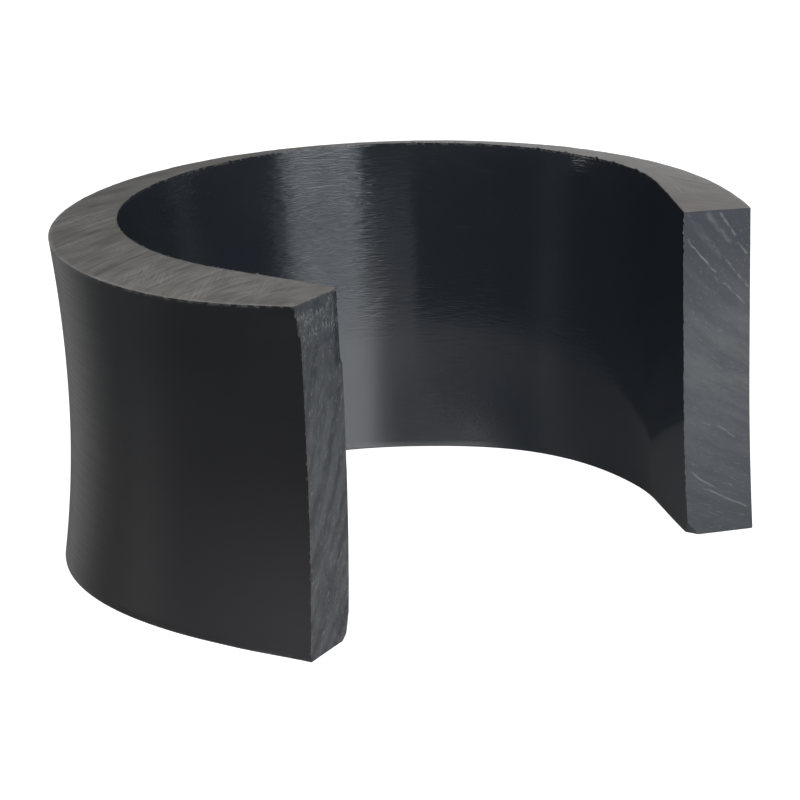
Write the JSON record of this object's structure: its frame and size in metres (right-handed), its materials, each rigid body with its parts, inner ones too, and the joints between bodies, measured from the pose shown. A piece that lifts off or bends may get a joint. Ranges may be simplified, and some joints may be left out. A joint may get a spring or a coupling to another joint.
{
  "type": "pipe adapter ring",
  "caption": "Thick black plastic C-ring, open on one side, that goes round a pipe to pack it out to a larger clamp; bent strip with sawn ends and top.",
  "frame": {"origin": "centre of the pipe seat: on the pipe's axis, halfway up the ring", "axes": "+Z along the pipe, towards the sawn face; the mouth of the C faces -Y"},
  "size_m": [0.1438, 0.1195, 0.0719],
  "materials": {
    "black_plastic": "black polyethylene: extruded satin sides, dull grey saw-marked top and end faces"
  },
  "bodies": {
    "root": {"adapter_ring": "black_plastic"}
  },
  "joints": []
}
